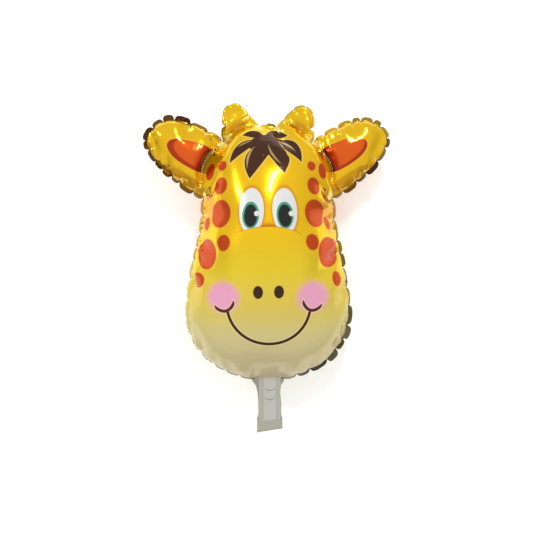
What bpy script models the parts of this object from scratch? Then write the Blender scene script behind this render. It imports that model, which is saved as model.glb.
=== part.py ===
# Foil balloon shaped as a giraffe's head, filled, lying on its back with its face up.
# X runs across the face, Y from the tail up to the horns, Z up out of the face.
# The origin is under the middle of the balloon, on the surface that it lies on.

import math

import bmesh
import bpy
import numpy as np
from mathutils import geometry

# Sizes of the filled balloon, in metres. Heights are measured from the chin, where the tail starts.
CHEEK_WIDTH = 0.215
CHEEK_HEIGHT = 0.089
TEMPLE_WIDTH = 0.172
TEMPLE_HEIGHT = 0.236
CROWN_HEIGHT = 0.331
HEAD_THICKNESS = 0.124

EAR_LENGTH = 0.095
EAR_WIDTH = 0.084
EAR_LIFT_DEGREES = 27.5

HORN_GAP = 0.022
HORN_WIDTH = 0.032
HORN_LENGTH = 0.030
HORN_SPREAD = 0.088
HORN_ROOT_WIDTH = 0.120
HORN_ROOT_DROP = 0.0175

TAIL_LENGTH = 0.065
TAIL_WIDTH = 0.029
TAIL_BAND_WIDTH = 0.0325
TAIL_BAND_LENGTH = 0.016
TAIL_NECK_WIDTH = 0.035
TAIL_END_SLANT = 0.005
TAIL_CHANNEL_THICKNESS = 0.007

# The welded border, where both foils lie flat on each other, and its puckers.
BORDER_WIDTH = 0.0048
BORDER_THICKNESS = 0.0012
LOBE_PITCH = 0.018
LOBE_DEPTH = 0.0024

# The weld that holds the ear's root flat, and the flat that the back presses on the ground.
EAR_WELD_WIDTH = 0.0028
EAR_WELD_LENGTH = 0.050
BACK_FLAT_DEPTH = 0.004

# Proportions of the free form, as shares.
CROWN_RISE = 0.1
CHIN_FULLNESS = 2.1
EAR_TOP_FULLNESS = 2.5
EAR_UNDER_FULLNESS = 1.75
EAR_TOP_START = 0.38
EAR_WELD_START = 0.09
EAR_WELD_BOW = 0.127
LOBE_POINTS = 5
FILL_ROUNDNESS = 0.8
CREASE_SHARES = (0.0, 0.30, 0.11)
ROW_DEPTHS = (0.0, 0.0032, 0.0090)
WELD_ROWS = (-2.4, -0.5, 0.5, 2.4)
CLOSEST_POINTS = 0.0019
ROW_CLEARANCE = 0.0006
FILL_SPACING = 0.0125
TINY = 1e-12
FOIL_COLOUR = (0.86, 0.55, 0.03, 1.0)


def clear_scene():
    for thing in list(bpy.data.objects):
        bpy.data.objects.remove(thing, do_unlink=True)


def ease(share):
    share = min(max(share, 0.0), 1.0)
    return share * share * (3.0 - 2.0 * share)


def super_quarter(half_length, half_width, fullness, steps=40):
    # A quarter of a full ellipse, from its widest point round to its tip.
    points = []
    for step in range(steps + 1):
        turn = 0.5 * math.pi * step / steps
        along = half_length * math.sin(turn) ** (2.0 / fullness)
        across = half_width * max(math.cos(turn), 0.0) ** (2.0 / fullness)
        points.append((along, across))
    return points


def horn_notches():
    # Where the horn leaves the crown, and where it meets the ear.
    inner = (0.5 * HORN_GAP, CROWN_HEIGHT)
    outer = (0.5 * HORN_ROOT_WIDTH, CROWN_HEIGHT - HORN_ROOT_DROP)
    return inner, outer


def tangent_angle(centre, radius, point, side):
    reach = math.dist(centre, point)
    towards = math.atan2(point[1] - centre[1], point[0] - centre[0])
    return towards + side * math.acos(min(radius / reach, 1.0))


def crown_run():
    inner, outer = horn_notches()
    rise = CROWN_RISE * HORN_GAP
    return [(0.0, inner[1] + rise), (0.5 * inner[0], inner[1] + 0.75 * rise), inner]


def horn_run():
    # A round knob with straight flanks down to its two notches.
    inner, outer = horn_notches()
    radius = 0.5 * HORN_WIDTH
    centre = (0.5 * HORN_SPREAD, CROWN_HEIGHT + HORN_LENGTH - radius)
    start = tangent_angle(centre, radius, inner, -1.0)
    end = tangent_angle(centre, radius, outer, 1.0)
    while end > start:
        end -= 2.0 * math.pi
    while end < start - 2.0 * math.pi:
        end += 2.0 * math.pi
    points = [inner]
    for step in range(25):
        angle = start + (end - start) * step / 24.0
        points.append((centre[0] + radius * math.cos(angle), centre[1] + radius * math.sin(angle)))
    points.append(outer)
    return points


def ear_run():
    # Two full quarters that meet at the tip, the upper one the rounder, drawn on the ear's own axis.
    upper_root = horn_notches()[1]
    lower_root = (0.5 * TEMPLE_WIDTH, TEMPLE_HEIGHT)
    middle = (0.5 * (upper_root[0] + lower_root[0]), 0.5 * (upper_root[1] + lower_root[1]))
    lift = math.radians(EAR_LIFT_DEGREES)
    axis = (math.cos(lift), math.sin(lift))

    def to_ear(point):
        step = (point[0] - middle[0], point[1] - middle[1])
        return step[0] * axis[0] + step[1] * axis[1], step[1] * axis[0] - step[0] * axis[1]

    def from_ear(along, across):
        return (middle[0] + along * axis[0] - across * axis[1],
                middle[1] + along * axis[1] + across * axis[0])

    root_along, root_across = to_ear(upper_root)
    half_width = 0.5 * EAR_WIDTH
    widest = EAR_TOP_START * EAR_LENGTH
    points = []
    for step in range(8):
        share = step / 8.0
        rise = 1.0 - (1.0 - share) ** 2
        points.append(from_ear(root_along + (widest - root_along) * share,
                               root_across + (half_width - root_across) * rise))
    for along, across in super_quarter(EAR_LENGTH - widest, half_width, EAR_TOP_FULLNESS):
        points.append(from_ear(widest + along, across))
    low_along, low_across = to_ear(lower_root)
    under = super_quarter(EAR_LENGTH - low_along, -low_across, EAR_UNDER_FULLNESS)
    for along, across in reversed(under[:-1]):
        points.append(from_ear(low_along + along, -across))
    return points


def side_run():
    # The side of the head eases out from temple to cheek, then rounds under to the tail's neck.
    points = []
    for step in range(30):
        share = step / 30.0
        half = 0.5 * (TEMPLE_WIDTH + (CHEEK_WIDTH - TEMPLE_WIDTH) * ease(share))
        points.append((half, TEMPLE_HEIGHT + (CHEEK_HEIGHT - TEMPLE_HEIGHT) * share))
    for down, half in super_quarter(CHEEK_HEIGHT, 0.5 * CHEEK_WIDTH, CHIN_FULLNESS, 80):
        if half > 0.5 * TAIL_NECK_WIDTH:
            points.append((half, CHEEK_HEIGHT - down))
    points.append((0.5 * TAIL_NECK_WIDTH, 0.0))
    return points


def tail_run():
    # A flat strip with a wider end, whose lower edge is cut a little aslant afterwards.
    half = 0.5 * TAIL_WIDTH
    end_half = 0.5 * TAIL_BAND_WIDTH
    neck = 0.5 * (TAIL_NECK_WIDTH - TAIL_WIDTH)
    band_top = TAIL_BAND_LENGTH - TAIL_LENGTH
    return [(half + neck, 0.0), (half + 0.25 * neck, -neck), (half, -2.5 * neck),
            (half, band_top + 0.25 * TAIL_BAND_LENGTH), (end_half, band_top), (end_half, -TAIL_LENGTH)]


def tail_end_run():
    half = 0.5 * TAIL_BAND_WIDTH
    return [(half, -TAIL_LENGTH), (0.0, -TAIL_LENGTH)]


def spread_evenly(points, count):
    # The same line with its points at even steps of its own length.
    steps = [math.dist(a, b) for a, b in zip(points, points[1:])]
    reached = np.concatenate(([0.0], np.cumsum(steps)))
    wanted = np.linspace(0.0, reached[-1], count + 1)
    xs = np.interp(wanted, reached, [p[0] for p in points])
    ys = np.interp(wanted, reached, [p[1] for p in points])
    return np.column_stack((xs, ys))


def length_of(points):
    return sum(math.dist(a, b) for a, b in zip(points, points[1:]))


def half_outline():
    # Points of the right half from the crown to the tail's end, each with its share of a crease.
    runs = ((crown_run(), False), (horn_run(), True), (ear_run(), True),
            (side_run(), True), (tail_run(), False), (tail_end_run(), False))
    points = []
    creases = []
    for run, puckered in runs:
        lobes = max(round(length_of(run) / LOBE_PITCH), 1)
        even = spread_evenly(run, lobes * LOBE_POINTS)
        for index, point in enumerate(even[:-1]):
            points.append(point)
            at_notch = index % LOBE_POINTS == 0
            creases.append(1.0 if puckered and at_notch else 0.0)
    points.append(np.array(tail_end_run()[-1]))
    creases.append(0.0)
    return np.array(points), np.array(creases)


def whole_outline():
    half, creases = half_outline()
    mirrored = half[1:-1][::-1] * (-1.0, 1.0)
    outline = np.concatenate((half, mirrored))
    creases = np.concatenate((creases, creases[1:-1][::-1]))
    band = outline[:, 1] < -TAIL_LENGTH + 0.5 * TAIL_BAND_LENGTH
    outline[band, 1] += TAIL_END_SLANT * outline[band, 0] / TAIL_BAND_WIDTH
    return outline, creases


def inward_normals(outline):
    ahead = np.roll(outline, -1, axis=0) - outline
    behind = outline - np.roll(outline, 1, axis=0)
    ahead /= np.linalg.norm(ahead, axis=1)[:, None]
    behind /= np.linalg.norm(behind, axis=1)[:, None]
    along = ahead + behind
    along /= np.maximum(np.linalg.norm(along, axis=1), TINY)[:, None]
    return np.column_stack((along[:, 1], -along[:, 0]))


def distance_to_line(points, line):
    # Shortest distance from each point to a line of straight steps.
    start = line[:-1][None]
    step = (line[1:] - line[:-1])[None]
    offset = points[:, None] - start
    share = (offset * step).sum(2) / np.maximum((step * step).sum(2), TINY)
    nearest = start + np.clip(share, 0.0, 1.0)[..., None] * step
    return np.linalg.norm(points[:, None] - nearest, axis=2).min(axis=1)


def is_inside(points, outline):
    ahead = np.roll(outline, -1, axis=0)
    x = points[:, 0][:, None]
    y = points[:, 1][:, None]
    straddles = (outline[:, 1] > y) != (ahead[:, 1] > y)
    rise = np.where(ahead[:, 1] == outline[:, 1], TINY, ahead[:, 1] - outline[:, 1])
    crossing = outline[:, 0] + (y - outline[:, 1]) / rise * (ahead[:, 0] - outline[:, 0])
    return (straddles & (x < crossing)).sum(axis=1) % 2 == 1


def ear_weld_line():
    # The weld follows the head's own edge, bowed out between the horn notch and the temple.
    top = np.array(horn_notches()[1])
    drop = np.array((0.5 * TEMPLE_WIDTH, TEMPLE_HEIGHT)) - top
    sideways = np.array((-drop[1], drop[0]))
    end = EAR_WELD_START + EAR_WELD_LENGTH / math.hypot(drop[0], drop[1])
    shares = np.linspace(EAR_WELD_START, end, 12)
    bow = EAR_WELD_BOW * np.sin(math.pi * shares)
    return top + shares[:, None] * drop + bow[:, None] * sideways


def fill_grid(outline):
    # Even points in staggered rows over the whole shape.
    low = outline.min(axis=0)
    high = outline.max(axis=0)
    row_step = 0.5 * math.sqrt(3.0) * FILL_SPACING
    columns = int((high[0] - low[0]) / FILL_SPACING) + 2
    grid = []
    for row in range(int((high[1] - low[1]) / row_step) + 1):
        shift = row % 2 / 2
        for column in range(-columns, columns + 1):
            grid.append(((column + shift) * FILL_SPACING, low[1] + row * row_step))
    return np.array(grid)


def sheet_points(outline, creases):
    # Rows along the border and the welds, then an even fill, each point with the crease that it carries.
    closed = np.vstack((outline, outline[:1]))
    inward = inward_normals(outline)
    placed = []
    folds = []

    def place(points, point_folds, border, spacing):
        clear = is_inside(points, outline) & (distance_to_line(points, closed) > border)
        for point, fold in zip(points[clear], point_folds[clear]):
            if not placed or np.linalg.norm(np.array(placed) - point, axis=1).min() > spacing:
                placed.append(point)
                folds.append(fold)

    for depth, crease_share in zip(ROW_DEPTHS, CREASE_SHARES):
        reach = BORDER_WIDTH + depth
        place(outline + inward * reach, creases * crease_share, reach - ROW_CLEARANCE, CLOSEST_POINTS)
    weld = ear_weld_line()
    ahead = np.gradient(weld, axis=0)
    across = np.column_stack((ahead[:, 1], -ahead[:, 0])) / np.linalg.norm(ahead, axis=1)[:, None]
    for side in (1.0, -1.0):
        for offset in WELD_ROWS:
            row = (weld + across * offset * EAR_WELD_WIDTH) * (side, 1.0)
            place(row, np.zeros(len(row)), BORDER_WIDTH + ROW_DEPTHS[1], CLOSEST_POINTS)
    grid = fill_grid(outline)
    place(grid, np.zeros(len(grid)), BORDER_WIDTH + 1.5 * ROW_DEPTHS[-1], 0.6 * FILL_SPACING)
    return placed, folds


def is_welded(points, closed):
    # Both foils are held together in the border, in the tail's end and along the ears' roots.
    weld = ear_weld_line()
    held = distance_to_line(points, closed) < 1.02 * BORDER_WIDTH
    held |= points[:, 1] < TAIL_BAND_LENGTH - TAIL_LENGTH
    for side in (1.0, -1.0):
        held |= distance_to_line(points, weld * (side, 1.0)) < 0.55 * EAR_WELD_WIDTH
    return held


def fill_heights(points, triangles, held):
    # The rise of a sheet that is held along its welds and blown up evenly, from Poisson's equation.
    count = len(points)
    stiffness = np.zeros((count, count))
    load = np.zeros(count)
    for triangle in triangles:
        corners = points[list(triangle)]
        edges = np.array([corners[(i + 2) % 3] - corners[(i + 1) % 3] for i in range(3)])
        double_area = abs(edges[0][0] * edges[1][1] - edges[0][1] * edges[1][0])
        if double_area < TINY:
            continue
        stiffness[np.ix_(triangle, triangle)] += edges @ edges.T / (2.0 * double_area)
        load[list(triangle)] += double_area / 6.0
    free = np.flatnonzero(~held)
    bulge = np.zeros(count)
    bulge[free] = np.linalg.solve(stiffness[np.ix_(free, free)], load[free])
    return np.sqrt(np.maximum(2.0 * bulge, 0.0))


def tail_height_limit(points):
    # The neck and tail fill only as far as their narrow channel lets them.
    share = np.array([ease(0.5 + y / (0.7 * TAIL_LENGTH)) for y in points[:, 1]])
    limit = 0.5 * TAIL_CHANNEL_THICKNESS
    return limit + share * (0.5 * HEAD_THICKNESS - limit)


def build_balloon():
    outline, creases = whole_outline()
    inward = inward_normals(outline)
    rim = outline + inward * (LOBE_DEPTH * creases)[:, None]
    closed = np.vstack((outline, outline[:1]))
    inner, folds = sheet_points(outline, creases)
    flat = np.vstack((rim, np.array(inner)))
    fold = np.concatenate((np.zeros(len(rim)), np.array(folds)))

    rim_edges = [(i, (i + 1) % len(rim)) for i in range(len(rim))]
    result = geometry.delaunay_2d_cdt([tuple(p) for p in flat], rim_edges, [], 1, 1e-6)
    points = np.array([tuple(p) for p in result[0]])
    triangles = [tuple(face) for face in result[2]]
    source = [origins[0] for origins in result[3]]
    fold = fold[source]

    held = is_welded(points, closed)
    heights = fill_heights(points, triangles, held)
    heights = 0.5 * HEAD_THICKNESS * (heights / heights.max()) ** FILL_ROUNDNESS
    heights = np.minimum(heights, tail_height_limit(points))
    heights -= heights * fold

    mesh = bmesh.new()
    front = [mesh.verts.new((x, y, 0.0)) for x, y in points]
    sheet = [mesh.faces.new([front[i] for i in triangle]) for triangle in triangles]
    copied = bmesh.ops.duplicate(mesh, geom=front + sheet)
    back = [copied["vert_map"][vert] for vert in front]
    bmesh.ops.reverse_faces(mesh, faces=[copied["face_map"][face] for face in sheet])

    lowest = BACK_FLAT_DEPTH - 0.5 * (HEAD_THICKNESS + BORDER_THICKNESS)
    for top, bottom, height in zip(front, back, heights):
        top.co.z = height + 0.5 * BORDER_THICKNESS
        bottom.co.z = max(-height - 0.5 * BORDER_THICKNESS, lowest)
    bmesh.ops.bridge_loops(mesh, edges=[edge for edge in mesh.edges if edge.is_boundary])
    bmesh.ops.triangulate(mesh, faces=[face for face in mesh.faces if len(face.verts) > 3])
    bmesh.ops.recalc_face_normals(mesh, faces=mesh.faces)

    low = np.array([vert.co for vert in mesh.verts]).min(axis=0)
    high = np.array([vert.co for vert in mesh.verts]).max(axis=0)
    middle = (-0.5 * (low[0] + high[0]), -0.5 * (low[1] + high[1]), -low[2])
    bmesh.ops.translate(mesh, verts=mesh.verts, vec=middle)
    return mesh


def foil_material():
    material = bpy.data.materials.new("printed_foil")
    material.use_nodes = True
    shader = material.node_tree.nodes["Principled BSDF"]
    shader.inputs["Base Color"].default_value = FOIL_COLOUR
    shader.inputs["Metallic"].default_value = 0.6
    shader.inputs["Roughness"].default_value = 0.22
    return material


def make_object(name, mesh, material):
    data = bpy.data.meshes.new(name)
    mesh.to_mesh(data)
    mesh.free()
    data.materials.append(material)
    thing = bpy.data.objects.new(name, data)
    bpy.context.scene.collection.objects.link(thing)
    data.shade_smooth()
    data.set_sharp_from_angle(angle=math.radians(40.0))
    return thing


def main():
    clear_scene()
    make_object("balloon", build_balloon(), foil_material())


main()
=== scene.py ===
import math
import random

import bmesh
import bpy
import numpy as np
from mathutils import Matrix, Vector, geometry


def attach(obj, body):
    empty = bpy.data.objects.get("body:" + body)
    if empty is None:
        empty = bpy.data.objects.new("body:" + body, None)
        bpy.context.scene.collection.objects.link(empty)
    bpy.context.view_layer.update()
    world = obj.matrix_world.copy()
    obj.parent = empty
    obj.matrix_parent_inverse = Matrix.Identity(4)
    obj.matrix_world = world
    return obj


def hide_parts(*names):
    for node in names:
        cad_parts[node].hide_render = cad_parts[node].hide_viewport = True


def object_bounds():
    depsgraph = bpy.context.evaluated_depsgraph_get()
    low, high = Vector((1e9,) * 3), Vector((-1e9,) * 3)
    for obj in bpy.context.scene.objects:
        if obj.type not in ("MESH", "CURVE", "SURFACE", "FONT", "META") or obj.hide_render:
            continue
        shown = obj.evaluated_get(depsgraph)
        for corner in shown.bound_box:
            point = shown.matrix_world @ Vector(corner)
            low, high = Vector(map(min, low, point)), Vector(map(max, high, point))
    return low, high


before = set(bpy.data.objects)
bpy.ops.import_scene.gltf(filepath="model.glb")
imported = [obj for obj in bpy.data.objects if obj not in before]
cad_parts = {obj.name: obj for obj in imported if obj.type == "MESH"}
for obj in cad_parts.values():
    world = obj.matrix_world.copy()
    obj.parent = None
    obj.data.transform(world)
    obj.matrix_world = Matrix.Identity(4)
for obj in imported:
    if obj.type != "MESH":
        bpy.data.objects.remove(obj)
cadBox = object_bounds()
scene = bpy.context.scene

# The photo's scale: metres a pixel at the height of the weld, and the pixel that shows the origin
photo = {"pixel": 0.0013, "originX": 268.0, "originY": 267.6, "size": 533, "cameraHeight": 1.8}

# The blown-up balloon, in metres; heights are measured up from the chin
balloon = {
    "cheekWidth": 0.215, "cheekHeight": 0.089, "chinFullness": 2.1,
    "templeWidth": 0.172, "templeHeight": 0.236, "crownHeight": 0.331, "crownRise": 0.1,
    "earLength": 0.095, "earWidth": 0.084, "earLift": 27.5,
    "earTopFullness": 2.5, "earUnderFullness": 1.75, "earTopStart": 0.38,
    "earWeldStart": 0.09, "earWeldEnd": 0.70, "earWeldBow": 0.127,
    "hornGap": 0.022, "hornWidth": 0.032, "hornLength": 0.030, "hornSpread": 0.088,
    "hornRootWidth": 0.120, "hornRootDrop": 0.0175,
    "tailLength": 0.065, "tailWidth": 0.029, "tailNeckWidth": 0.041, "tailShift": 0.0023,
    "tailBandWidth": 0.0325, "tailBandLength": 0.016, "tailEndSlant": 0.005,
}

# How much larger the flat foils are cut, because filling draws the rim in
cutLarger = {
    "cheekWidth": 1.27, "cheekHeight": 1.24, "templeWidth": 1.27, "templeHeight": 1.13, "crownHeight": 1.13,
    "earLength": 1.15, "earWidth": 1.26, "hornGap": 0.95, "hornWidth": 1.50, "hornLength": 1.32,
    "hornSpread": 1.24, "hornRootWidth": 1.25, "earWeldBow": 0.72,
}
cut = {name: size * cutLarger.get(name, 1.0) for name, size in balloon.items()}

# How the right and the left half differ a little: shares of the sizes above, and how far out from the
# middle each ear's weld lies, as a share of its place
sideFactors = ({"hornLength": 0.90}, {"earLength": 1.015, "earWidth": 1.03, "earUnderFullness": 1.12})
weldSides = (0.96, -1.0)

# The welded rim and its lobes, which the filling puckers between
rim = {
    "width": 0.0072, "foilGap": 0.00015,
    "lobe": 0.0170, "sideLobe": 0.0225, "lobeVaries": 0.34,
    "lobePoints": (0.0, 0.08, 0.24, 0.5, 0.76, 0.92),      # shares of a lobe where the rim is cut
    "notchWidth": 0.06, "notchVaries": 0.35,      # what is left of the rim's width at a pucker
    "pinch": 0.0019, "hornPinch": 0.0010, "pinchVaries": 0.5,      # how far a pucker draws the seam in
    "hornWaist": 0.0045, "waistAt": 0.76, "lift": 0.0008,
    "inset": 0.0005, "insetShown": 0.0035,        # how far in the seam lies, and what a flat rim adds
    "tailInset": 0.0030,
    "showsVaries": 0.3, "leastShown": 0.1, "foldsForward": 0.15, "darkVaries": 0.15,
    "pinchEdge": 3, "widthEdge": 8, "liftEdge": 2,         # how sharply each of these ends beside a pucker
    "seeds": (3, 7),                              # of the right half's lobes and the left half's
}

# Along each run of the rim, right and left: how much of its width shows, the rest being folded back,
# and how dark it is painted, as a painted dark reflection on the tilted rim
rimLook = {
    "crownRun": {"shows": ((0.6, 0.5), (0.3, 0.25)), "dark": ((0.8, 0.8), (0.5, 0.5))},
    "hornRun": {
        "shows": ((0.2, 0.3, 0.3, 0.2), (0.15, 0.15, 0.2, 0.25)),
        "dark": ((0.5, 0.6, 0.5, 0.3), (0.3, 0.45, 0.6, 0.6)),
    },
    "earRun": {
        "shows": ((0.5, 0.9, 0.9, 0.8, 0.75, 0.7, 0.65, 0.55), (0.6, 1.0, 1.0, 0.85, 0.7, 0.65, 0.65, 0.6)),
        "dark": ((0.15, 0.3, 0.75, 0.7, 0.95, 0.95, 0.9, 0.8), (0.35, 0.85, 1.0, 1.0, 1.0, 0.95, 0.9, 0.5)),
    },
    "sideRun": {
        "shows": ((0.4, 0.5, 0.55, 0.65, 0.85, 0.9, 0.7, 0.35),
                  (0.4, 0.45, 0.35, 0.2, 0.12, 0.12, 0.25, 0.25)),
        "dark": ((0.6, 0.7, 0.75, 0.7, 0.95, 1.0, 1.0, 0.9), (0.5, 0.6, 0.5, 0.3, 0.15, 0.25, 0.9, 0.95)),
    },
    "tailRun": {"shows": ((1.0,), (1.0,)), "dark": ((0.0,), (0.0,))},
    "tailEndRun": {"shows": ((1.0,), (1.0,)), "dark": ((0.0,), (0.0,))},
}
step = 0.0032         # the spacing of the foils' points
curveSteps = {"quarter": 40, "chin": 80, "knob": 24, "earRoot": 8, "temple": 30}


def ease(share):
    share = min(max(share, 0.0), 1.0)
    return share * share * (3.0 - 2.0 * share)


def fullQuarter(halfLength, halfWidth, fullness, steps=curveSteps["quarter"]):
    # A quarter of a full ellipse, from its widest point round to its tip
    points = []
    for index in range(steps + 1):
        turn = 0.5 * math.pi * index / steps
        points.append((halfLength * math.sin(turn) ** (2.0 / fullness),
                       halfWidth * max(math.cos(turn), 0.0) ** (2.0 / fullness)))
    return points


def hornNotches(size):
    inner = (0.5 * size["hornGap"], size["crownHeight"])
    outer = (0.5 * size["hornRootWidth"], size["crownHeight"] - size["hornRootDrop"])
    return inner, outer


def crownRun(size):
    inner = hornNotches(size)[0]
    rise = size["crownRise"] * size["hornGap"]
    return [(0.0, inner[1] + rise), (0.5 * inner[0], inner[1] + 0.75 * rise), inner]


def hornRun(size):
    # A round knob with straight flanks down to its two notches
    inner, outer = hornNotches(size)
    radius = 0.5 * size["hornWidth"]
    centre = (0.5 * size["hornSpread"], size["crownHeight"] + size["hornLength"] - radius)

    def tangent(point, side):
        towards = math.atan2(point[1] - centre[1], point[0] - centre[0])
        return towards + side * math.acos(min(radius / math.dist(centre, point), 1.0))

    start = tangent(inner, -1.0)
    end = tangent(outer, 1.0)
    end -= 2.0 * math.pi * math.ceil((end - start) / (2.0 * math.pi))
    points = [inner]
    for index in range(curveSteps["knob"] + 1):
        angle = start + (end - start) * index / curveSteps["knob"]
        points.append((centre[0] + radius * math.cos(angle), centre[1] + radius * math.sin(angle)))
    return points + [outer]


def earRun(size):
    # Two full quarters that meet at the ear's tip, the upper one the rounder
    upper = hornNotches(size)[1]
    lower = (0.5 * size["templeWidth"], size["templeHeight"])
    middle = (0.5 * (upper[0] + lower[0]), 0.5 * (upper[1] + lower[1]))
    lift = math.radians(size["earLift"])
    axisX, axisY = math.cos(lift), math.sin(lift)

    def toEar(point):
        dx, dy = point[0] - middle[0], point[1] - middle[1]
        return dx * axisX + dy * axisY, dy * axisX - dx * axisY

    def fromEar(along, across):
        return middle[0] + along * axisX - across * axisY, middle[1] + along * axisY + across * axisX

    rootAlong, rootAcross = toEar(upper)
    half = 0.5 * size["earWidth"]
    widest = size["earTopStart"] * size["earLength"]
    points = []
    for index in range(curveSteps["earRoot"]):
        share = index / curveSteps["earRoot"]
        rise = 1.0 - (1.0 - share) ** 2
        points.append(fromEar(rootAlong + (widest - rootAlong) * share,
                              rootAcross + (half - rootAcross) * rise))
    for along, across in fullQuarter(size["earLength"] - widest, half, size["earTopFullness"]):
        points.append(fromEar(widest + along, across))
    lowAlong, lowAcross = toEar(lower)
    under = fullQuarter(size["earLength"] - lowAlong, -lowAcross, size["earUnderFullness"])
    for along, across in reversed(under[:-1]):
        points.append(fromEar(lowAlong + along, -across))
    return points


def sideRun(size):
    # From the temple out to the cheek, then round under the chin to the tail's neck
    points = []
    for index in range(curveSteps["temple"]):
        share = index / curveSteps["temple"]
        half = 0.5 * (size["templeWidth"] + (size["cheekWidth"] - size["templeWidth"]) * ease(share))
        points.append((half, size["templeHeight"] + (size["cheekHeight"] - size["templeHeight"]) * share))
    for down, half in fullQuarter(size["cheekHeight"], 0.5 * size["cheekWidth"], size["chinFullness"],
                                  curveSteps["chin"]):
        if half > 0.5 * size["tailNeckWidth"]:
            points.append((half, size["cheekHeight"] - down))
    return points + [(0.5 * size["tailNeckWidth"], 0.0)]


def tailRun(size):
    half = 0.5 * size["tailWidth"]
    neck = 0.5 * (size["tailNeckWidth"] - size["tailWidth"])
    bandTop = size["tailBandLength"] - size["tailLength"]
    return [(half + neck, 0.0), (half + 0.25 * neck, -neck), (half, -2.5 * neck),
            (half, bandTop + 0.25 * size["tailBandLength"]), (0.5 * size["tailBandWidth"], bandTop),
            (0.5 * size["tailBandWidth"], -size["tailLength"])]


def tailEndRun(size):
    return [(0.5 * size["tailBandWidth"], -size["tailLength"]), (0.0, -size["tailLength"])]


rimRuns = ((crownRun, False), (hornRun, True), (earRun, True), (sideRun, True), (tailRun, False),
           (tailEndRun, False))


def pointsAlong(line, shares):
    line = np.array(line)
    reached = np.concatenate(([0.0], np.cumsum(np.linalg.norm(np.diff(line, axis=0), axis=1))))
    wanted = np.array(shares) * reached[-1]
    return np.column_stack((np.interp(wanted, reached, line[:, 0]), np.interp(wanted, reached, line[:, 1])))


def lengthOf(line):
    return sum(math.dist(a, b) for a, b in zip(line, line[1:]))


def nearestOn(points, line):
    # The segment of the line nearest to each point, how far along it, and the distance
    best = np.full(len(points), 1e9)
    index = np.zeros(len(points), int)
    share = np.zeros(len(points))
    for number, (a, b) in enumerate(zip(line[:-1], line[1:])):
        ahead = b - a
        along = np.clip(((points - a) @ ahead) / max(ahead @ ahead, 1e-18), 0.0, 1.0)
        distance = np.linalg.norm(points - (a + along[:, None] * ahead), axis=1)
        closer = distance < best
        best[closer], index[closer], share[closer] = distance[closer], number, along[closer]
    return index, share, best


def distanceTo(points, line):
    return nearestOn(points, line)[2]


def isInside(points, line):
    result = np.zeros(len(points), bool)
    for a, b in zip(line, np.roll(line, -1, axis=0)):
        if a[1] != b[1]:
            straddles = (a[1] > points[:, 1]) != (b[1] > points[:, 1])
            crossing = a[0] + (points[:, 1] - a[1]) / (b[1] - a[1]) * (b[0] - a[0])
            result ^= straddles & (points[:, 0] < crossing)
    return result


def inwardOf(line):
    ahead = np.roll(line, -1, axis=0) - np.roll(line, 1, axis=0)
    return np.column_stack((ahead[:, 1], -ahead[:, 0])) / np.linalg.norm(ahead, axis=1)[:, None]


def lobePlan(seed, side):
    # Half the rim, from the crown to the tail's end: the place of each point, and how its lobe is
    # pinched and bent
    pick = random.Random(seed)
    plan = []

    def look(run, name, share):
        values = rimLook[run.__name__][name][side]
        return float(np.interp(share, np.linspace(0.0, 1.0, len(values)), values))

    for run, puckered in rimRuns:
        pitch = rim["sideLobe" if run is sideRun else "lobe"] if puckered else step
        lobes = max(round(lengthOf(run(balloon)) / pitch), 2)
        sizes = [1.0 + puckered * rim["lobeVaries"] * pick.uniform(-1.0, 1.0) for _ in range(lobes)]
        notches = [rim["notchWidth"] + rim["notchVaries"] * pick.random() for _ in range(lobes + 1)]
        pinch = rim["hornPinch" if run is hornRun else "pinch"]
        pinches = [pinch * (1.0 + rim["pinchVaries"] * pick.uniform(-1.0, 1.0)) for _ in range(lobes + 1)]
        lifts = [rim["lift"] * pick.uniform(-1.0, 1.0) for _ in range(lobes + 1)]
        if run is hornRun:
            pinches[round(rim["waistAt"] * lobes)] += rim["hornWaist"]
        for lobe in range(lobes):
            middle = (sum(sizes[:lobe]) + 0.5 * sizes[lobe]) / sum(sizes)
            varies = 1.0 + puckered * rim["showsVaries"] * pick.uniform(-1.0, 1.0)
            fold = -math.acos(min(max(look(run, "shows", middle) * varies, rim["leastShown"]), 1.0))
            if puckered and pick.random() < rim["foldsForward"]:
                fold = -fold
            dark = look(run, "dark", middle) + puckered * rim["darkVaries"] * pick.uniform(-1.0, 1.0)
            for place in rim["lobePoints"] if puckered else (0.0,):
                share = (sum(sizes[:lobe]) + sizes[lobe] * place) / sum(sizes)
                edge = abs(2.0 * place - 1.0) if puckered else 0.0
                nearest = lobe + (1 if place > 0.5 else 0)
                inset = rim["inset"] + rim["insetShown"] * look(run, "shows", share)
                inset += pinches[nearest] * edge ** rim["pinchEdge"]
                if run in (tailRun, tailEndRun):
                    inset += rim["tailInset"]
                plan.append({
                    "run": run, "share": share, "edge": edge, "dark": dark, "tilt": fold,
                    "width": 1.0 - (1.0 - notches[nearest]) * edge ** rim["widthEdge"],
                    "inset": inset, "lift": lifts[nearest] * edge ** rim["liftEdge"] * puckered,
                })
    plan.append({**plan[-1], "share": 1.0})
    return plan


def rimLine(size, rightPlan, leftPlan):
    halves = []
    for plan, factors in zip((rightPlan, leftPlan), sideFactors):
        half = {name: value * factors.get(name, 1.0) for name, value in size.items()}
        halves.append(np.vstack([pointsAlong(run(half), [row["share"] for row in plan if row["run"] is run])
                                 for run, puckered in rimRuns]))
    line = np.vstack((halves[0], halves[1][1:-1][::-1] * (-1.0, 1.0)))
    line[:, 0] += size["tailShift"] * np.clip(-line[:, 1] / size["tailWidth"], 0.0, 1.0)
    end = line[:, 1] < 0.5 * size["tailBandLength"] - size["tailLength"]
    line[end, 1] += size["tailEndSlant"] * line[end, 0] / size["tailBandWidth"]
    return line


def rimValues(rightPlan, leftPlan, name):
    return np.array([row[name] for row in rightPlan] + [row[name] for row in leftPlan[1:-1]][::-1])


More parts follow.
